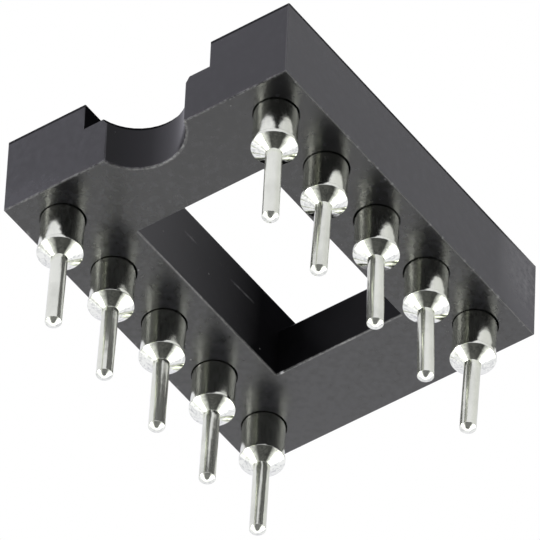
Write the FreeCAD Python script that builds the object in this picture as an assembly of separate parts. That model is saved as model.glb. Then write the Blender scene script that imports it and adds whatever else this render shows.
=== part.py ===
import FreeCAD, Part
import math
import os

# Open-frame dual-in-line socket with turned contacts, sizes in millimetres.
# Z is up and the tails point down. z = 0 is the top of the board that the socket is soldered to,
# and x = y = 0 is the middle of the contact grid. The polarity notch is in the -Y end.

# Contact grid
pitch = 2.54
row_spacing = 7.62
contacts_per_row = 5

# Moulded frame: two tall rails joined by two lower end bars
housing_width = 10.10
opening_width = 4.50
rail_height = 2.92
bar_height = 1.85
end_bar_length = 2.84
edge_break = 0.03

# Polarity notch in one end bar, an arc whose centre lies outside the end face
notch_radius = 1.49
notch_depth = 1.02
notch_chamfer_width = 0.12
notch_chamfer_height = 0.22

# Turned sleeve, outside, from its top down to the tip of the tail
sleeve_proud = 0.06
barrel_radius = 0.66
exposed_barrel = 1.30
collar_radius = 0.69
collar_land = 0.12
cone_height = 0.255
tail_radius = 0.25
tail_length = 2.62
tip_height = 0.10

# Turned sleeve, inside, from the mouth down
mouth_radius = 0.62
mouth_depth = 0.11
bore_depth = 3.45

# Spring clip, strip formed into a ring of flats, with a finger bent down from every other flat
clip_radius = 0.50
clip_wall = 0.05
clip_fingers = 4
ring_length = 0.55
finger_length = 1.50
waist_half_width = 0.20
waist_land = 0.20
finger_tip_width = 0.24
finger_tip_flare = 0.05
finger_tip_length = 0.22

# Fits
press_clearance = 0.005
clip_clearance = 0.005
barrel_clearance = 0.035
barrel_relief_depth = 0.60
board_hole_radius = 0.40

# Lengths, radii and levels that follow from the sizes above
housing_length = contacts_per_row * pitch
hole_radius = barrel_radius + barrel_clearance
press_radius = hole_radius - press_clearance
bore_radius = clip_radius + clip_clearance
cone_slope = cone_height / (collar_radius - tail_radius)
collar_bottom = cone_slope * (collar_radius - board_hole_radius)
collar_top = collar_bottom + collar_land
housing_bottom = collar_top + exposed_barrel
housing_top = housing_bottom + rail_height
bar_top = housing_bottom + bar_height
press_bottom = housing_bottom + barrel_relief_depth
sleeve_top = housing_top + sleeve_proud
bore_bottom = sleeve_top - bore_depth
tail_top = collar_bottom - cone_height
tail_bottom = tail_top - tail_length
clip_top = sleeve_top - mouth_depth
ring_bottom = clip_top - ring_length
full_turn = 360.0
z_axis = FreeCAD.Vector(0, 0, 1)


def box(width, length, height, bottom):
    """A block centred on the Z axis, standing on the level given."""
    corner = FreeCAD.Vector(-width / 2, -length / 2, bottom)
    return Part.makeBox(width, length, height, corner)


def flat_face(corners):
    """The flat face inside a closed outline of straight edges."""
    return Part.Face(Part.makePolygon(corners + [corners[0]]))


def turned(profile):
    """The solid of revolution about Z of a closed profile of (radius, level) points."""
    section = flat_face([FreeCAD.Vector(radius, 0, level) for radius, level in profile])
    return section.revolve(FreeCAD.Vector(0, 0, 0), z_axis, full_turn)


def contact_places():
    """Grid places in contact order: down the +X row from the notch, then back up the -X row."""
    first = -pitch * (contacts_per_row - 1) / 2
    along = [first + pitch * i for i in range(contacts_per_row)]
    right = [(row_spacing / 2, y) for y in along]
    left = [(-row_spacing / 2, y) for y in reversed(along)]
    return right + left


def frame_blank():
    """The outer block of the frame with its edges broken."""
    block = box(housing_width, housing_length, rail_height, housing_bottom)
    return block.makeChamfer(edge_break, block.Edges)


def frame_opening():
    """The window through the frame, and the channel over both end bars in line with it."""
    window_length = housing_length - 2 * end_bar_length
    window = box(opening_width, window_length, rail_height, housing_bottom)
    channel = box(opening_width, housing_length, rail_height - bar_height, bar_top)
    return window.fuse(channel)


def polarity_notch():
    """The upright arc through one end bar, widened by a chamfer at the top of the bar."""
    wide = notch_radius + notch_chamfer_width
    profile = [
        (0, housing_bottom),
        (notch_radius, housing_bottom),
        (notch_radius, bar_top - notch_chamfer_height),
        (wide, bar_top),
        (0, bar_top),
    ]
    notch = turned(profile)
    notch.translate(FreeCAD.Vector(0, notch_depth - notch_radius - housing_length / 2, 0))
    return notch


def contact_holes():
    """The straight holes for all the sleeves."""
    level = FreeCAD.Vector(0, 0, housing_bottom)
    hole = Part.makeCylinder(hole_radius, rail_height, level)
    return Part.makeCompound([hole.translated(FreeCAD.Vector(x, y, 0)) for x, y in contact_places()])


def housing():
    """The one-piece moulded frame."""
    frame = frame_blank().cut(frame_opening()).cut(polarity_notch())
    return frame.cut(contact_holes()).removeSplitter()


def contact_sleeve():
    """One turned sleeve: solder tail, cone, collar, barrel, press body and the bore with its mouth."""
    profile = [
        (0, tail_bottom - tip_height),
        (tail_radius, tail_bottom),
        (tail_radius, tail_top),
        (collar_radius, collar_bottom),
        (collar_radius, collar_top),
        (barrel_radius, collar_top),
        (barrel_radius, press_bottom),
        (press_radius, press_bottom),
        (press_radius, sleeve_top),
        (mouth_radius, sleeve_top),
        (bore_radius, clip_top),
        (bore_radius, bore_bottom),
        (0, bore_bottom),
    ]
    return turned(profile)


def prism(radius, sides, bottom, height):
    """A regular upright prism with the middle of one side on +X."""
    turn = 2 * math.pi / sides
    angles = [turn * (i + 0.5) for i in range(sides)]
    corners = [FreeCAD.Vector(radius * math.cos(a), radius * math.sin(a), bottom) for a in angles]
    return flat_face(corners).extrude(FreeCAD.Vector(0, 0, height))


def clip_ring():
    """The ring of flats whose corners bear on the bore of the sleeve."""
    flats = 2 * clip_fingers
    inner_radius = clip_radius - clip_wall / math.cos(math.pi / flats)
    outer = prism(clip_radius, flats, ring_bottom, ring_length)
    inner = prism(inner_radius, flats, ring_bottom, ring_length)
    return outer.cut(inner)


def clip_finger():
    """The finger on the +X side: a bent strip as wide as its flat, tapered towards the tip."""
    half_flat_angle = math.pi / (2 * clip_fingers)
    ring_face = clip_radius * math.cos(half_flat_angle)
    root_half = clip_radius * math.sin(half_flat_angle)
    waist_face = waist_half_width + clip_wall
    waist_top = ring_bottom - finger_length
    waist_bottom = waist_top - waist_land
    tip = waist_bottom - finger_tip_length
    outside = [
        (ring_face, ring_bottom),
        (waist_face, waist_top),
        (waist_face, waist_bottom),
        (waist_face + finger_tip_flare, tip),
    ]
    inside = [(x - clip_wall, z) for x, z in reversed(outside)]
    side = [FreeCAD.Vector(x, -root_half, z) for x, z in outside + inside]
    strip = flat_face(side).extrude(FreeCAD.Vector(0, 2 * root_half, 0))
    tip_half = finger_tip_width / 2
    front = [(-root_half, ring_bottom), (root_half, ring_bottom), (tip_half, tip), (-tip_half, tip)]
    taper = flat_face([FreeCAD.Vector(0, y, z) for y, z in front])
    return strip.common(taper.extrude(FreeCAD.Vector(ring_face, 0, 0)))


def contact_clip():
    """One spring clip: the ring with a finger below every other flat."""
    finger = clip_finger()
    step = full_turn / clip_fingers
    copies = [finger.rotated(FreeCAD.Vector(0, 0, 0), z_axis, step * i) for i in range(clip_fingers)]
    return clip_ring().fuse(copies).removeSplitter()


def write(shape, node):
    """Write one node's solid to its own file."""
    shape.exportStep("parts/" + node + ".step")


os.makedirs("parts", exist_ok=True)
write(housing(), "housing")
sleeve = contact_sleeve()
clip = contact_clip()
for number, (x, y) in enumerate(contact_places(), 1):
    place = FreeCAD.Vector(x, y, 0)
    write(sleeve.translated(place), "contact_sleeve_%02d" % number)
    write(clip.translated(place), "contact_clip_%02d" % number)
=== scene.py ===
import bmesh
import bpy
import math
import numpy as np
from mathutils import Matrix, Vector


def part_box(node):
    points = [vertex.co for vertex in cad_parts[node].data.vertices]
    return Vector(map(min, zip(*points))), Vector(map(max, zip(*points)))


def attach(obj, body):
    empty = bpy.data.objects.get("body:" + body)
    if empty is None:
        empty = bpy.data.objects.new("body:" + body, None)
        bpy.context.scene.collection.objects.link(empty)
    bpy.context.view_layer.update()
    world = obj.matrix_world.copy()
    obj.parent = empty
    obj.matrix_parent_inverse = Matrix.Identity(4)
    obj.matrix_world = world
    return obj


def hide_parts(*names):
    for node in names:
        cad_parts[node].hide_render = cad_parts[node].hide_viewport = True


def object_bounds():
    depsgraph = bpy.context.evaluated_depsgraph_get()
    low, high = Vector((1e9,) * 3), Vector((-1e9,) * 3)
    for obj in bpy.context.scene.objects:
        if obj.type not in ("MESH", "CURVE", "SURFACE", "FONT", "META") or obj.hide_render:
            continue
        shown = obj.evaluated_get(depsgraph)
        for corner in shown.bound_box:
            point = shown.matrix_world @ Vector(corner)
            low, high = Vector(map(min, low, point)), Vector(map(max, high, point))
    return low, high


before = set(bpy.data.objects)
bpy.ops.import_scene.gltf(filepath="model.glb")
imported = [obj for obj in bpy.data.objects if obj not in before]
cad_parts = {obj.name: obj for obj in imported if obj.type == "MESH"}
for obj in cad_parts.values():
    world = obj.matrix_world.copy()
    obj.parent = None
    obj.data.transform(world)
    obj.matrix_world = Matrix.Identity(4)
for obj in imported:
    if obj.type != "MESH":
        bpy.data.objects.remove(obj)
cad_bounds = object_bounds()
MM = 0.001

# Housing. The frame of the socket is one moulding in black glass-filled polyester, semi-gloss with a
# fine grain and faint sink waves. Pale lines along the lower rims, where the halves of the tool met,
# are painted highlights, and a grey painted sheen lifts the outer faces. The core of the tool leaves
# the walls of the openings dull, most of all towards the far end.
housing_low, housing_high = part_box("housing")[0].z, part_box("housing")[1].z
end_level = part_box("housing")[0].y
side_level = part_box("housing")[1].x
opening_half_width = 2.26 * MM
window_end = 3.51 * MM
bar_height = 1.85 * MM
notch_radius = 1.49 * MM
notch_depth = 1.02 * MM
notch_chamfer_width = 0.12 * MM
notch_chamfer_height = 0.22 * MM
chamfer_angle = math.atan2(notch_chamfer_width, notch_chamfer_height)
chamfer_level = housing_low + bar_height - notch_chamfer_height
merge_distance = 0.0005 * MM
flat_angle = math.radians(1)
smooth_angle = math.radians(50)
rim_angle = math.radians(60)
rim_round = 0.022 * MM
hole_zone = 0.8 * MM
top_band = 0.13 * MM
skin = 0.05 * MM
plastic_index = 1.52
coat_roughness = 0.2
plastic_black = (0.0042, 0.0042, 0.0046, 1)
plastic_grey = (0.0075, 0.0074, 0.0082, 1)
# The grey, a little blue, of the painted sheen on the outer faces.
painted_sheen_grey = (0.034, 0.034, 0.038, 1)
# The pale grey of dust, and of the painted highlights on the rims and the +X side.
dust_and_highlight_grey = (0.30, 0.30, 0.29, 1)
tag_white = (0.80, 0.80, 0.80, 1)
scratch_grey = (0.10, 0.10, 0.10, 1)
scratch_width = 0.065 * MM
first_scratch = ((-1.33 * MM, 3.56 * MM), (-0.64 * MM, 3.55 * MM))
second_scratch = ((1.02 * MM, 3.53 * MM), (2.29 * MM, 3.57 * MM))
flash_tag = -2.06 * MM


class Signal:
    """A value or colour inside a material. Python's operators on it add Math nodes."""

    def __init__(self, finish, socket):
        self.finish = finish
        self.socket = socket

    def _math(self, operation, *terms):
        return self.finish.node("ShaderNodeMath", {"operation": operation}, terms)

    def __add__(self, other):
        return self._math("ADD", self, other)

    def __sub__(self, other):
        return self._math("SUBTRACT", self, other)

    def __rsub__(self, other):
        return self._math("SUBTRACT", other, self)

    def __mul__(self, other):
        return self._math("MULTIPLY", self, other)

    def __pow__(self, other):
        return self._math("POWER", self, other)

    def __abs__(self):
        return self._math("ABSOLUTE", self)

    __radd__ = __add__
    __rmul__ = __mul__

    def clamped(self, low, high):
        """0 below low, 1 above high and straight between them."""
        steps = {"From Min": low, "From Max": high, "Value": self}
        return self.finish.node("ShaderNodeMapRange", {"clamp": True}, steps)

    def near(self, place, whole, none):
        """1 up to one distance from a place, and 0 from a second distance on."""
        return abs(self - place).clamped(none, whole)


class Finish:
    """A material with one Principled shader. Constants are set on the shader's own sockets."""

    def __init__(self, name, **constants):
        self.material = bpy.data.materials.new(name)
        self.material.use_nodes = True
        self.tree = self.material.node_tree
        self.shader = self.tree.nodes["Principled BSDF"]
        for socket, value in constants.items():
            self.shader.inputs[socket.replace("_", " ")].default_value = value
        self.place = self.node("ShaderNodeTexCoord", {}, {}, "Object")
        self.x, self.y, self.z = [
            self.node("ShaderNodeSeparateXYZ", {}, {"Vector": self.place}, axis) for axis in "XYZ"
        ]

    def node(self, kind, settings, sockets, output=0):
        """Add a node: its settings first, then a value or a link for each socket, by name or in order."""
        made = self.tree.nodes.new(kind)
        for name, value in settings.items():
            setattr(made, name, value)
        pairs = sockets.items() if isinstance(sockets, dict) else enumerate(sockets)
        for name, value in pairs:
            self.put(made.inputs[name], value)
        return Signal(self, made.outputs[output])

    def put(self, socket, value):
        """Link a signal to a socket, or set the socket's own value."""
        if isinstance(value, Signal):
            self.tree.links.new(value.socket, socket)
        else:
            socket.default_value = value

    def noise(self, size, stretch=(1, 1, 1), detail=2.0, warp=0.0):
        """Noise from 0 to 1 whose grains are about the size given in metres, longer where stretched."""
        scale = tuple(1 / s for s in stretch)
        place = self.node("ShaderNodeMapping", {}, {"Vector": self.place, "Scale": scale})
        sockets = {"Vector": place, "Scale": 1 / size, "Detail": detail, "Distortion": warp}
        return self.node("ShaderNodeTexNoise", {"noise_dimensions": "3D"}, sockets)

    def specks(self, spacing, size, share):
        """1 inside small round specks, which fill only a share of the cells of a random grid."""
        cells = {"Vector": self.place, "Scale": 1 / spacing}
        distance = self.node("ShaderNodeTexVoronoi", {}, cells, "Distance")
        chance = self.node("ShaderNodeTexVoronoi", {}, cells, "Color")
        kept = chance.clamped(1 - share, 1.001 - share)
        return kept * distance.clamped(size / spacing, 0.5 * size / spacing)

    def blend(self, share, first, second):
        """The first colour where the share is 0, the second where it is 1."""
        sockets = {"Factor": share, 6: first, 7: second}
        return self.node("ShaderNodeMix", {"data_type": "RGBA"}, sockets, 2)

    def bump(self, height, depth):
        """Normals that a relief of the given depth in metres gives the surface."""
        sockets = {"Distance": depth, "Height": height}
        self.put(self.shader.inputs["Normal"], self.node("ShaderNodeBump", {}, sockets))


def scratch(finish, start, end):
    """1 along a straight mark on a wall that faces X, between two (y, z) points, fading at its ends."""
    slope = (end[1] - start[1]) / (end[0] - start[0])
    middle = (start[0] + end[0]) / 2
    half = abs(end[0] - start[0]) / 2
    reach = abs(finish.y - middle).clamped(half, half / 2)
    line = abs(finish.z - start[1] - slope * (finish.y - start[0])).clamped(scratch_width, 0)
    return reach * line


def over_bars(finish):
    """1 in the channel over the end bars, from the notch's chamfer up."""
    beyond_window = abs(finish.y).clamped(window_end, window_end + 0.03 * MM)
    between_rails = abs(finish.x).clamped(opening_half_width, opening_half_width - 0.01 * MM)
    chamfer_up = finish.z.clamped(chamfer_level - 0.02 * MM, chamfer_level + 0.01 * MM)
    return beyond_window * between_rails * chamfer_up


def core_gloss(finish, cloud):
    """The gloss of the openings' walls: fading towards the far end, with a little more on the far wall
    towards +X, less at both sides of the notch and none in the channel over the end bars."""
    fading = (finish.y + 0.8 * MM * cloud).clamped(3.0 * MM, -5.5 * MM)
    far_wall = 0.2 * finish.y.clamped(3.4 * MM, 3.5 * MM) * finish.x.clamped(-1.5 * MM, 2 * MM)
    notch_left = 0.68 * finish.x.clamped(0.9 * MM, -1.6 * MM)
    notch_right = 0.66 * finish.x.clamped(0.9 * MM, 1.4 * MM)
    notch = finish.y.clamped(-5.2 * MM, -5.4 * MM) * (notch_left + notch_right)
    return (fading + far_wall) * (1 - notch) * (1 - over_bars(finish))


def rim_gloss(finish, cloud):
    """Rims shine like the walls, but little along the top, where the edge is rounded over."""
    below_top = finish.z.clamped(housing_high - top_band, housing_high - top_band - 0.01 * MM)
    return (0.2 + 0.8 * below_top) * (1 - over_bars(finish))


def flash(finish):
    """Pale lines on the lower rims, painted as highlights where the rounded rims catch the light: crumbs
    along the near end and the left of the window, a fuller line round the notch and along the window's
    far wall, and a thin line and grains on the sides."""
    crumbs = (finish.noise(0.10 * MM, detail=3.0) + 0.6 * finish.noise(0.9 * MM)).clamped(0.70, 0.98)
    near_end = finish.y.near(end_level, 0.03 * MM, 0.07 * MM)
    across_window = abs(finish.x).clamped(opening_half_width, opening_half_width - 0.02 * MM)
    far_rim = finish.y.near(window_end, 0.02 * MM, 0.06 * MM) * across_window
    along_window = abs(finish.y).clamped(window_end, window_end - 0.02 * MM)
    left_rim = finish.x.near(-opening_half_width, 0.02 * MM, 0.06 * MM) * along_window
    from_arc = finish.y - end_level - (notch_depth - notch_radius)
    from_middle = (finish.x * finish.x + from_arc * from_arc) ** 0.5
    fuller_right = 0.4 + 0.6 * finish.x.clamped(-1.2 * MM, 0)
    notch_rim = from_middle.near(notch_radius, 0.03 * MM, 0.09 * MM) * fuller_right
    rims = 0.6 * near_end * crumbs + notch_rim * (0.2 + 0.8 * crumbs)
    rims = rims + far_rim * (0.35 + 0.65 * crumbs) + left_rim * (0.2 + 0.2 * crumbs)
    side_line = finish.x.clamped(side_level - 0.06 * MM, side_level - 0.02 * MM)
    side_rim = abs(finish.x).clamped(side_level - 0.12 * MM, side_level - 0.07 * MM)
    side_grains = side_rim * finish.noise(0.22 * MM).clamped(0.58, 0.70)
    lower = finish.z.near(housing_low, 0.03 * MM, 0.07 * MM)
    # Painted highlights: pale rim lines where the rounded lower rims catch the light.
    return lower * (rims + 0.16 * side_line + 0.45 * side_grains).clamped(0, 1)


def tag(finish):
    """1 on the one thick tag of flash, at the left end of the window's far rim."""
    lower = finish.z.near(housing_low, 0.03 * MM, 0.07 * MM)
    on_rim = lower * finish.y.near(window_end, 0.03 * MM, 0.06 * MM)
    return on_rim * finish.x.near(flash_tag, 0.03 * MM, 0.08 * MM)


def on_side(finish):
    """1 on the +X side of the housing."""
    return finish.x.clamped(side_level - 0.08 * MM, side_level - 0.01 * MM)


def painted_side_highlight(finish):
    """Painted highlights in pale grey on the +X side: a line down its near upright rim, where the corner
    catches the light, and a lift on its far corner towards the top.
    """
    upright_rim = finish.x.clamped(side_level - 0.06 * MM, side_level - 0.02 * MM)
    upright_rim = upright_rim * finish.y.clamped(end_level + 0.06 * MM, end_level)
    far_corner = finish.y.clamped(4.3 * MM, 6.2 * MM) * finish.z.clamped(1.3 * MM, 3.2 * MM)
    return 0.3 * upright_rim + 0.6 * far_corner * on_side(finish)


def painted_sheen(finish, cloud, mottle):
    """Painted sheen: a grey lift, a little blue, in the colour of the outer faces, standing in for the
    light they reflect, mottled: more towards the far left, in the far corner of the +X side and low in
    the left corner of the near end, and hardly any on the band at the top, which stays dark."""
    across = (finish.y - finish.x + 4 * MM * cloud).clamped(-6 * MM, 14 * MM)
    far_corner = 0.7 * finish.y.clamped(4.5 * MM, 6.3 * MM)
    near_corner = finish.x.clamped(-2.0 * MM, -4.5 * MM) * finish.z.clamped(2.6 * MM, 1.7 * MM)
    near_corner = near_corner * finish.y.clamped(end_level + 0.05 * MM, end_level)
    sheen = across * (1 - 0.8 * on_side(finish)) + on_side(finish) * far_corner
    sheen = sheen + 1.8 * (mottle - 0.5) + 0.8 * near_corner
    top = finish.z.clamped(housing_high - top_band - 0.01 * MM, housing_high - top_band)
    return (0.12 + sheen.clamped(0, 1)) * (1 - 0.9 * top)


def plastic(name, coat=None, with_painted_sheen=True, painted_rim_glints=False):
    """Black moulded plastic: grain and sink waves in the relief, cloudy gloss, dust and a tag of flash,
    and painted sheen and painted rim highlights in the colour.
    Where the gloss gives out from place to place it is a coat over a dull body."""
    level = 0 if coat else 0.5
    finish = Finish(name, IOR=plastic_index, Specular_IOR_Level=level, Coat_IOR=plastic_index)
    cloud = finish.noise(2.2 * MM, detail=3.0, warp=0.4)
    streak = finish.noise(0.5 * MM, stretch=(1, 5, 1), detail=3.0)
    mottle = finish.noise(0.22 * MM, detail=3.0)
    grain = finish.noise(0.05 * MM, detail=2.0)
    tone = (cloud * 0.6 + streak * 0.4).clamped(0.32, 0.68)
    colour = finish.blend(tone, plastic_black, plastic_grey)
    if coat:
        finish.put(finish.shader.inputs["Coat Weight"], coat(finish, cloud))
        finish.put(finish.shader.inputs["Coat Roughness"], coat_roughness)
        marks = scratch(finish, *first_scratch) + scratch(finish, *second_scratch)
        colour = finish.blend(marks * mottle.clamped(0.2, 0.6), colour, scratch_grey)
    if with_painted_sheen:
        # Painted highlights on the +X side's near upright rim and far corner.
        colour = finish.blend(painted_side_highlight(finish), colour, dust_and_highlight_grey)
        # Painted sheen: a grey lift over the outer faces that stands in for the light they reflect.
        colour = finish.blend(painted_sheen(finish, cloud, mottle), colour, painted_sheen_grey)
    dust = finish.specks(0.55 * MM, 0.035 * MM, 0.25)
    # Dust specks, and the pale lines on the lower rims painted as highlights.
    colour = finish.blend((0.6 * dust + flash(finish)).clamped(0, 1), colour, dust_and_highlight_grey)
    colour = finish.blend(tag(finish), colour, tag_white)
    if painted_rim_glints:
        # Painted highlights, broken into crumbs, on the lower chamfers and roundings, less on the +X side.
        crumbs = (finish.noise(0.12 * MM, detail=3.0) + finish.noise(1.1 * MM) * 0.5).clamped(0.62, 0.92)
        low = finish.z.clamped(housing_low + 0.4 * MM, housing_low + 0.1 * MM)
        colour = finish.blend(0.4 * crumbs * low * (1 - 0.8 * on_side(finish)), colour, dust_and_highlight_grey)
    finish.put(finish.shader.inputs["Base Color"], colour)
    finish.put(finish.shader.inputs["Roughness"], 0.19 + 0.06 * cloud + 0.05 * grain)
    finish.bump(cloud * 0.75 + streak * 0.12 + mottle * 0.16 + grain * 0.04, 0.016 * MM)
    return finish.material


def housing_mesh():
    """The moulding's own solid, its loose triangles merged and joined again into whole flats. Sharp
    edges are marked for rounding, apart from those of the holes. A cut sets off the band along the
    top edges. The edge between the notch and its chamfer stays sharp, gentle as it is."""
    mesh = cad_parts["housing"].data.copy()
    mesh.name = "moulded_housing"
    form = bmesh.new()
    form.from_mesh(mesh)
    bmesh.ops.remove_doubles(form, verts=form.verts, dist=merge_distance)
    bmesh.ops.dissolve_limit(form, angle_limit=flat_angle, verts=form.verts, edges=form.edges)
    weight = form.edges.layers.float.new("bevel_weight_edge")
    for edge in form.edges:
        from_hole = min((edge.verts[0].co.xy - spot).length for spot in contact_spots)
        if edge.is_convex and edge.calc_face_angle(0) > rim_angle and from_hole > hole_zone:
            edge[weight] = 1
    parts = form.verts[:] + form.edges[:] + form.faces[:]
    band = Vector((0, 0, housing_high - top_band))
    bmesh.ops.bisect_plane(form, geom=parts, plane_co=band, plane_no=(0, 0, 1))
    for edge in form.edges:
        angle = edge.calc_face_angle(0)
        edge.smooth = angle < smooth_angle and abs(angle - chamfer_angle) > flat_angle
    for face in form.faces:
        face.smooth = True
    form.to_mesh(mesh)
    form.free()
    return mesh


def put_piece(name, mesh, materials, slot, *nodes):
    """Add a finished piece that stands for CAD nodes and rides on the body. The slot is not used."""
    piece = bpy.data.objects.new(name, mesh)
    bpy.context.scene.collection.objects.link(piece)
    mesh.materials.clear()
    for material in materials:
        mesh.materials.append(material)
    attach(piece, "root")
    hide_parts(*nodes)
    return piece


def polygon_array(mesh, name):
    """One vector for each polygon of a mesh."""
    values = np.zeros(len(mesh.polygons) * 3)
    mesh.polygons.foreach_get(name, values)
    return values.reshape(-1, 3)


sleeve_nodes = sorted(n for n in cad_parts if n.startswith("contact_sleeve"))
contact_spots = [(sum(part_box(n), Vector()) / 2).xy for n in sleeve_nodes]
mesh = housing_mesh()
walls = plastic("moulded_plastic")
rims = plastic("moulded_plastic_rims", coat=rim_gloss, painted_rim_glints=True)
core_walls = plastic("moulded_plastic_core", coat=core_gloss, with_painted_sheen=False)
finishes = [walls, rims, core_walls]
housing = put_piece("moulded_housing", mesh, finishes, "housing_plastic", "housing")
facing_up = np.abs(polygon_array(mesh, "normal")[:, 2])
x, y, z = polygon_array(mesh, "center").T
slanted = (facing_up > 0.3) & (facing_up < 0.9)
inside = (facing_up < 0.6) & (np.abs(x) < opening_half_width) & (np.abs(y) < -end_level - skin)
outermost = (x > side_level - skin) | (y < end_level + skin)
topmost = (z > housing_high - top_band) & (facing_up < 0.3) & outermost
mesh.polygons.foreach_set("material_index", np.where(inside, 2, slanted | topmost).astype(np.int32))
rounding = housing.modifiers.new("rims", "BEVEL")
rounding.width = rim_round
rounding.segments = 2
rounding.limit_method = "WEIGHT"
rounding.material = 1
flats = housing.modifiers.new("flats", "WEIGHTED_NORMAL")
flats.keep_sharp = True

# Contact sleeves. Each is turned from brass bar and tin plated: a solder tail with a low conical tip,
# a cone and collar that stop it on the board, a barrel, and a press body that holds it in the housing.
# Fine rings from the tool show through the plate, and handling has bent each a little aside.
collar_radius = 0.69 * MM
collar_land = 0.12 * MM
barrel_radius = 0.66 * MM
tail_radius = 0.25 * MM
tip_height = 0.10 * MM
cone_height = 0.255 * MM
exposed_barrel = 1.30 * MM
barrel_relief = 0.60 * MM
mouth_radius = 0.62 * MM
mouth_depth = 0.11 * MM
bore_radius = 0.505 * MM
bore_depth = 3.45 * MM
collar_level = housing_low - exposed_barrel
cone_level = collar_level - collar_land
tail_level = cone_level - cone_height
nose_radius = 0.09 * MM
nose_height = 0.012 * MM
nose_round = 0.048 * MM
turned_round = 0.012 * MM
root_round = 0.006 * MM
sleeve_sides = 128
fillet_steps = 5
tin_bright = (0.925, 0.95, 0.82, 1)
tin_dull = (0.78, 0.80, 0.69, 1)
cone_bright = (0.95, 0.975, 0.865, 1)
# The dark grey of the crease lines painted into the cone as reflections.
cone_painted_dark = (0.60, 0.62, 0.57, 1)
camera_azimuth = math.radians(37.238)
tip_leans = np.array([-0.03, -0.11, 0.07, 0.08, -0.14, -0.05, -0.06, -0.06, -0.10, -0.09]) * MM


def rounded_profile(corners):
    """An outline of (radius, level, round) corners with each corner turned into an arc.
    The arc starts and ends at the round's size from the corner and bends as a quadratic curve:
    point = (1-t)^2 start + 2 t (1-t) corner + t^2 end."""
    points = np.array([(r, z) for r, z, _ in corners])
    outline = [points[:1]]
    t = np.linspace(0, 1, fillet_steps)[:, None]
    for i in range(1, len(corners) - 1):
        here, size = points[i], corners[i][2]
        back = points[i - 1] - here
        ahead = points[i + 1] - here
        start = here + back / np.linalg.norm(back) * size
        end = here + ahead / np.linalg.norm(ahead) * size
        outline.append((1 - t) ** 2 * start + 2 * t * (1 - t) * here + t ** 2 * end)
    outline.append(points[-1:])
    return np.concatenate(outline)


def leaning_axis(profile, x, y, lean):
    """The axis at each level of the profile: (x, y) in the housing, and below it (x, y) plus
    lean * drop / whole drop, to the right of the camera's view. A lean along it can't be seen."""
    drop = housing_low - profile[:, 1:2]
    across_view = np.array([math.cos(camera_azimuth), math.sin(camera_azimuth)])
    return np.array([x, y]) + np.clip(drop / drop[0], 0, 1) * lean * across_view


def turned_mesh(name, profile, axis):
    """A surface of revolution whose profile starts and ends on the axis.
    Point (i, j) = (x_i + r_i cos a_j, y_i + r_i sin a_j, z_i), with one shared point at each pole."""
    angle = np.arange(sleeve_sides) * 2 * np.pi / sleeve_sides
    radius, level = profile[1:-1, 0:1], profile[1:-1, 1:2]
    rings = np.stack([
        axis[1:-1, 0:1] + radius * np.cos(angle),
        axis[1:-1, 1:2] + radius * np.sin(angle),
        np.broadcast_to(level, (len(level), sleeve_sides)),
    ], axis=-1).reshape(-1, 3)
    poles = np.array([(*axis[0], profile[0, 1]), (*axis[-1], profile[-1, 1])])
    column = np.arange(sleeve_sides)
    following = (column + 1) % sleeve_sides
    row = np.arange(len(level) - 1)[:, None] * sleeve_sides
    quads = np.stack([
        row + column,
        row + following,
        row + following + sleeve_sides,
        row + column + sleeve_sides,
    ], axis=-1).reshape(-1, 4)
    first, last = len(rings), len(rings) + 1
    end_row = (len(level) - 1) * sleeve_sides
    tip = np.stack([np.full(sleeve_sides, first), following, column], axis=-1)
    bore_end = np.stack([np.full(sleeve_sides, last), end_row + column, end_row + following], axis=-1)
    mesh = bpy.data.meshes.new(name)
    faces = quads.tolist() + tip.tolist() + bore_end.tolist()
    mesh.from_pydata(np.concatenate([rings, poles]).tolist(), [], faces)
    mesh.shade_smooth()
    return mesh


def tin_plate():
    """Bright tin plate: tool rings in the relief, duller patches, faint dents on a larger scale.
    The cone is greyer in dark crease lines, painted reflections of dim surroundings in its relief,
    and the tails are the least smooth."""
    finish = Finish("tin_plate")
    rings = finish.noise(0.012 * MM, stretch=(60, 60, 1), detail=3.0)
    dents = finish.noise(0.30 * MM, detail=1.0)
    patches = finish.noise(0.5 * MM, stretch=(1, 1, 2), detail=4.0)
    painted_reflection_creases = finish.noise(0.14 * MM, detail=3.0, warp=1.2)
    above_tail = finish.z.clamped(tail_level, tail_level + 0.02 * MM)
    cone = finish.z.clamped(cone_level + 0.02 * MM, cone_level) * above_tail
    tip_level = cad_bounds[0][2] + tip_height
    cone = cone + finish.z.clamped(tip_level + 0.01 * MM, tip_level - 0.01 * MM)
    tail = finish.z.clamped(0, -0.4 * MM)
    colour = finish.blend(patches.clamped(0.42, 0.72), tin_bright, tin_dull)
    # Painted reflections: dark crease lines in the cone's colour.
    cut = finish.blend(painted_reflection_creases.clamped(0.45, 0.75), cone_bright, cone_painted_dark)
    smoothness = (0.10 + 0.06 * patches.clamped(0.35, 0.8)) * (1 - 0.6 * cone)
    finish.put(finish.shader.inputs["Base Color"], finish.blend(cone, colour, cut))
    finish.put(finish.shader.inputs["Metallic"], 1 - 0.2 * tail)
    finish.put(finish.shader.inputs["Roughness"], smoothness + 0.05 * tail)
    finish.bump(rings * 0.05 + dents * 0.45, 0.012 * MM)
    return finish.material


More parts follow.
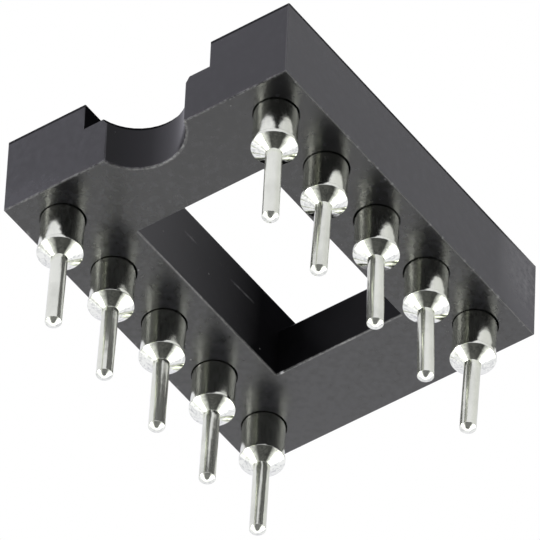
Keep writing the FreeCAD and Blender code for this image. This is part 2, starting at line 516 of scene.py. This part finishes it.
def sleeve_profile(low, high, press_radius):
    """The turned outline from the tip of the tail round the outside and down the bore."""
    press_level = housing_low + barrel_relief
    return rounded_profile([
        (0, low.z, 0),
        (nose_radius, low.z + nose_height, nose_round),
        (tail_radius, low.z + tip_height, turned_round),
        (tail_radius, tail_level, turned_round),
        (collar_radius, cone_level, turned_round),
        (collar_radius, collar_level, turned_round),
        (barrel_radius, collar_level, root_round),
        (barrel_radius, press_level, turned_round),
        (press_radius, press_level, turned_round),
        (press_radius, high.z, turned_round),
        (mouth_radius, high.z, turned_round),
        (bore_radius, high.z - mouth_depth, turned_round),
        (bore_radius, high.z - bore_depth, turned_round),
        (0, high.z - bore_depth, 0),
    ])


plate = tin_plate()
for node, lean in zip(sleeve_nodes, tip_leans):
    low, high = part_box(node)
    profile = sleeve_profile(low, high, (high.x - low.x) / 2)
    axis = leaning_axis(profile, (low.x + high.x) / 2, (low.y + high.y) / 2, lean)
    mesh = turned_mesh("turned_" + node, profile, axis)
    put_piece("turned_" + node, mesh, [plate], "tin_plated_brass", node)

# Contact clips. Each is stamped from thin copper alloy strip, flashed with gold, and rolled into a
# ring that grips the bore, with four fingers that spring together around the lead of the chip.
ring_radius = bore_radius - 0.005 * MM
clip_wall = 0.05 * MM
ring_length = 0.55 * MM
finger_length = 1.50 * MM
waist_radius = 0.25 * MM
waist_land = 0.20 * MM
flare_radius = 0.30 * MM
root_half_angle = math.radians(38)
tip_half_angle = math.radians(30)
fingers = 4
level_steps = 9
finger_steps = 13
ring_steps = 65
gold_bright = (0.86, 0.66, 0.34, 1)
gold_dull = (0.66, 0.47, 0.21, 1)


def strip_sheet(radius, level, half_angle, middle, x, y, steps):
    """One curved strip: point (i, j) = (x + r_i cos a_ij, y + r_i sin a_ij, z_i), where a_ij runs over
    the half angle of row i to either side of the strip's middle."""
    across = np.linspace(-1, 1, steps)
    angle = middle + half_angle[:, None] * across
    points = np.stack([
        x + radius[:, None] * np.cos(angle),
        y + radius[:, None] * np.sin(angle),
        np.broadcast_to(level[:, None], angle.shape),
    ], axis=-1).reshape(-1, 3)
    row = np.arange(len(radius) - 1)[:, None] * steps
    column = np.arange(steps - 1)
    faces = np.stack([
        row + column,
        row + column + steps,
        row + column + steps + 1,
        row + column + 1,
    ], axis=-1).reshape(-1, 4)
    return points, faces


def clip_mesh(name, x, y, top, tip):
    """The outer skin of the ring and its fingers. A finger is a strip whose radius falls from the
    ring's to the waist's and then flares, and whose half angle falls in proportion to the level."""
    ring_low = top - ring_length
    waist_top = ring_low - finger_length
    waist_low = waist_top - waist_land
    knots = np.array([ring_low, waist_top, waist_low, tip])
    stretches = [np.linspace(a, b, level_steps)[:-1] for a, b in zip(knots, knots[1:])]
    level = np.concatenate(stretches + [[tip]])
    radius = np.interp(-level, -knots, [ring_radius, waist_radius, waist_radius, flare_radius])
    half_angle = np.interp(-level, -knots[[0, -1]], [root_half_angle, tip_half_angle])
    ring_level = np.array([top, ring_low])
    sheets = [strip_sheet(np.full(2, ring_radius), ring_level, np.full(2, np.pi), 0, x, y, ring_steps)]
    for i in range(fingers):
        middle = i * 2 * np.pi / fingers
        sheets.append(strip_sheet(radius, level, half_angle, middle, x, y, finger_steps))
    offsets = np.cumsum([0] + [len(points) for points, _ in sheets[:-1]])
    points = np.concatenate([points for points, _ in sheets])
    faces = np.concatenate([faces + offset for (_, faces), offset in zip(sheets, offsets)])
    mesh = bpy.data.meshes.new(name)
    mesh.from_pydata(points.tolist(), [], faces.tolist())
    mesh.shade_smooth()
    return mesh


def gold_flash():
    """Thin gold on formed strip: lengthwise drawing lines and darker, thinner patches."""
    finish = Finish("gold_flash", Metallic=1.0)
    lines = finish.noise(0.01 * MM, stretch=(1, 1, 40), detail=2.0)
    worn = finish.noise(0.25 * MM, detail=3.0)
    colour = finish.blend(worn.clamped(0.4, 0.7), gold_bright, gold_dull)
    finish.put(finish.shader.inputs["Base Color"], colour)
    finish.put(finish.shader.inputs["Roughness"], 0.16 + 0.12 * worn)
    finish.bump(lines, 0.0008 * MM)
    return finish.material


gold = gold_flash()
for node in sorted(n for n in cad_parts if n.startswith("contact_clip")):
    low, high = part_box(node)
    mesh = clip_mesh("formed_" + node, (low.x + high.x) / 2, (low.y + high.y) / 2, high.z, low.z)
    clip = put_piece("formed_" + node, mesh, [gold], "gold_plated_spring", node)
    wall = clip.modifiers.new("strip", "SOLIDIFY")
    wall.thickness = clip_wall
    wall.offset = -1

# Camera. It looks up at the tails from the notched end, far away and with a long lens, as the
# photograph does. Its azimuth is given with the contacts, whose leans were seen across this view.
camera_elevation = math.radians(-46.221)
camera_roll = math.radians(2.743)
camera_distance = 335.57 * MM
aim = Vector((-0.509, 0.658, 2.588)) * MM
frame_pixels = 540
focal_pixels = 11410.4

back = Vector((
    math.sin(camera_azimuth) * math.cos(camera_elevation),
    -math.cos(camera_azimuth) * math.cos(camera_elevation),
    math.sin(camera_elevation),
))
level_right = (-back).cross(Vector((0, 0, 1))).normalized()
level_up = level_right.cross(-back)
right = math.cos(camera_roll) * level_right + math.sin(camera_roll) * level_up
up = -math.sin(camera_roll) * level_right + math.cos(camera_roll) * level_up
lens = bpy.data.cameras.new("camera")
lens.lens = lens.sensor_width * focal_pixels / frame_pixels
lens.clip_start = 1 * MM
camera = bpy.data.objects.new("camera", lens)
bpy.context.scene.collection.objects.link(camera)
turn = Matrix((right, up, back)).transposed().to_4x4()
camera.matrix_world = Matrix.Translation(aim + back * camera_distance) @ turn
bpy.context.scene.camera = camera
bpy.context.scene.view_settings.view_transform = "Standard"

# Floor and light. A pale table under the tips, a white surround and soft lamps above and below. Seen
# from underneath, and by light and reflections, the table is clear, because the photograph looks up
# at the tails from below and the white surround lights that side too.
floor_half = 250 * MM
table_white = (0.86, 0.86, 0.86, 1)
sky_level = 0.86
low_sky_gain = 0.07
side_loss = 0.16
sky_tint = (0.965, 0.95, 1.06, 1)
ground_level = 1.15
rear_gain = 0.48
left_gain = 7.2
right_gain = 2.1
dark_level = 0.06
card_gain = 0.5
pit_level = 0.085
pit_tilt = -0.01
flag_turns = (-104, -35, 35, 104)
flag_depth = 0.75
diffuse_level = 0.55


def floor_material():
    """Matte white for camera rays on the upper side, clear for every other ray."""
    finish = Finish("pale_table", Roughness=0.9, Base_Color=table_white)
    tree = finish.tree
    paths = finish.node("ShaderNodeLightPath", {}, {}, "Is Camera Ray")
    behind = finish.node("ShaderNodeNewGeometry", {}, {}, "Backfacing")
    clear = finish.node("ShaderNodeBsdfTransparent", {}, {})
    shown = paths * (1 - behind)
    solid = Signal(finish, finish.shader.outputs[0])
    mixed = finish.node("ShaderNodeMixShader", {}, [shown, clear, solid])
    tree.links.new(mixed.socket, tree.nodes["Material Output"].inputs["Surface"])
    return finish.material


table_level = cad_bounds[0][2]
table = bpy.data.meshes.new("table")
corners = [(-1, -1), (1, -1), (1, 1), (-1, 1)]
table.from_pydata([(a * floor_half, b * floor_half, table_level) for a, b in corners], [], [(0, 1, 2, 3)])
table.materials.append(floor_material())
floor = bpy.data.objects.new("table", table)
bpy.context.scene.collection.objects.link(floor)


def around(turn, lift):
    """The direction turned from the camera's bearing and lifted from the level, both in degrees."""
    bearing = Matrix.Rotation(math.radians(turn), 3, "Z") @ Vector((back.x, back.y, 0)).normalized()
    return bearing * math.cos(math.radians(lift)) + Vector((0, 0, math.sin(math.radians(lift))))


class Surround(Finish):
    """The world's nodes, built with the same maker of nodes as a material's."""

    def __init__(self, world):
        self.tree = world.node_tree
        self.shader = self.tree.nodes["Background"]
        self.direction = self.node("ShaderNodeTexCoord", {}, {}, "Generated")
        self.height = self.node("ShaderNodeSeparateXYZ", {}, {"Vector": self.direction}, "Z")
        level_part = self.node("ShaderNodeVectorMath", {"operation": "MULTIPLY"}, [self.direction, (1, 1, 0)])
        self.compass = self.node("ShaderNodeVectorMath", {"operation": "NORMALIZE"}, [level_part])

    def near_direction(self, direction, toward, angle, soft):
        """1 where one direction is within an angle of another, falling to 0 over the soft angle."""
        sockets = [direction, toward]
        nearness = self.node("ShaderNodeVectorMath", {"operation": "DOT_PRODUCT"}, sockets, "Value")
        edge, half = math.radians(angle), math.radians(soft / 2)
        return nearness.clamped(math.cos(edge + half), math.cos(edge - half))

    def patch(self, turn, lift, angle, soft):
        """A round patch of the surround. All its angles are in degrees."""
        return self.near_direction(self.direction, around(turn, lift), angle, soft)

    def upright_strip(self, turn, angle, soft):
        """An upright strip of the surround, whose middle is turned from the camera's bearing."""
        return self.near_direction(self.compass, around(turn, 0), angle, soft)


world = bpy.data.worlds.new("white_surround")
world.use_nodes = True
bpy.context.scene.world = world
surround = Surround(world)
height = surround.height
seen = surround.node("ShaderNodeLightPath", {}, {}, "Is Camera Ray")
mirrored = surround.node("ShaderNodeLightPath", {}, {}, "Is Glossy Ray")

# The sky is even, but for a little less light on the +X side and a little more near the horizon. The
# ground is brighter at the rear, and two soft boxes low on the left and right make the stripes of the
# barrels.
above = height.clamped(-0.62, -0.38)
low_sky = height.clamped(0.4, -0.3)
side_sky = surround.patch(turn=105, lift=46, angle=40, soft=40)
sky = sky_level - side_loss * side_sky + low_sky_gain * low_sky
rear = surround.patch(turn=180, lift=math.degrees(camera_elevation), angle=58, soft=40)
left_box = surround.patch(turn=-88, lift=-44, angle=8, soft=6)
right_box = surround.patch(turn=120, lift=-44, angle=18, soft=18)
ground = ground_level + rear_gain * rear + left_gain * left_box + right_gain * right_box
reflected = ground * (1 - above) + sky * above

# Low down on the camera's side is a dark room, with a card half as dark on its right, and straight
# below the socket a round dark pit.
right_edge = surround.patch(turn=0, lift=0, angle=92, soft=23)
left_edge = surround.patch(turn=64, lift=-23, angle=90, soft=36)
card = surround.patch(turn=88, lift=-56.3, angle=9, soft=9)
room = right_edge * left_edge * height.clamped(-0.45, -0.6) * (1 - card_gain * card)
reflected = reflected * (1 - room) + dark_level * room
down = Vector((0, 0, -1)) + pit_tilt * level_right
pit = surround.near_direction(surround.direction, down, angle=24.8, soft=4)
reflected = reflected * (1 - pit) + pit_level * pit

# Black flags stand upright round the horizon, so that the bright contacts keep a drawn edge when they
# are seen from other sides.
flag_loss = height.clamped(-0.62, -0.5) * height.clamped(0.35, 0.2) * flag_depth
for flag_turn in flag_turns:
    reflected = reflected * (1 - flag_loss * surround.upright_strip(flag_turn, angle=10, soft=6))

strength = seen + (1 - seen) * (mirrored * reflected + (1 - mirrored) * diffuse_level)
tint = surround.blend((1 - seen) * above * (1 - 0.5 * side_sky), (1, 1, 1, 1), sky_tint)
surround.put(surround.shader.inputs["Color"], tint)
surround.put(surround.shader.inputs["Strength"], strength)


def soft_lamp(name, place, size, power):
    """A square area lamp aimed at the socket's middle. Place and size are in metres."""
    light = bpy.data.lights.new(name, "AREA")
    light.size = size
    light.energy = power
    lamp = bpy.data.objects.new(name, light)
    bpy.context.scene.collection.objects.link(lamp)
    lamp.visible_glossy = False
    lamp.location = place
    lamp.rotation_euler = Vector(place).to_track_quat("Z", "Y").to_euler()


soft_lamp("key_lamp", place=(-0.10, -0.12, 0.22), size=0.12, power=0.32)
soft_lamp("fill_lamp", place=(0.16, 0.05, 0.14), size=0.16, power=0.12)
soft_lamp("under_lamp", place=(-0.12, 0.14, -0.20), size=0.14, power=0.20)
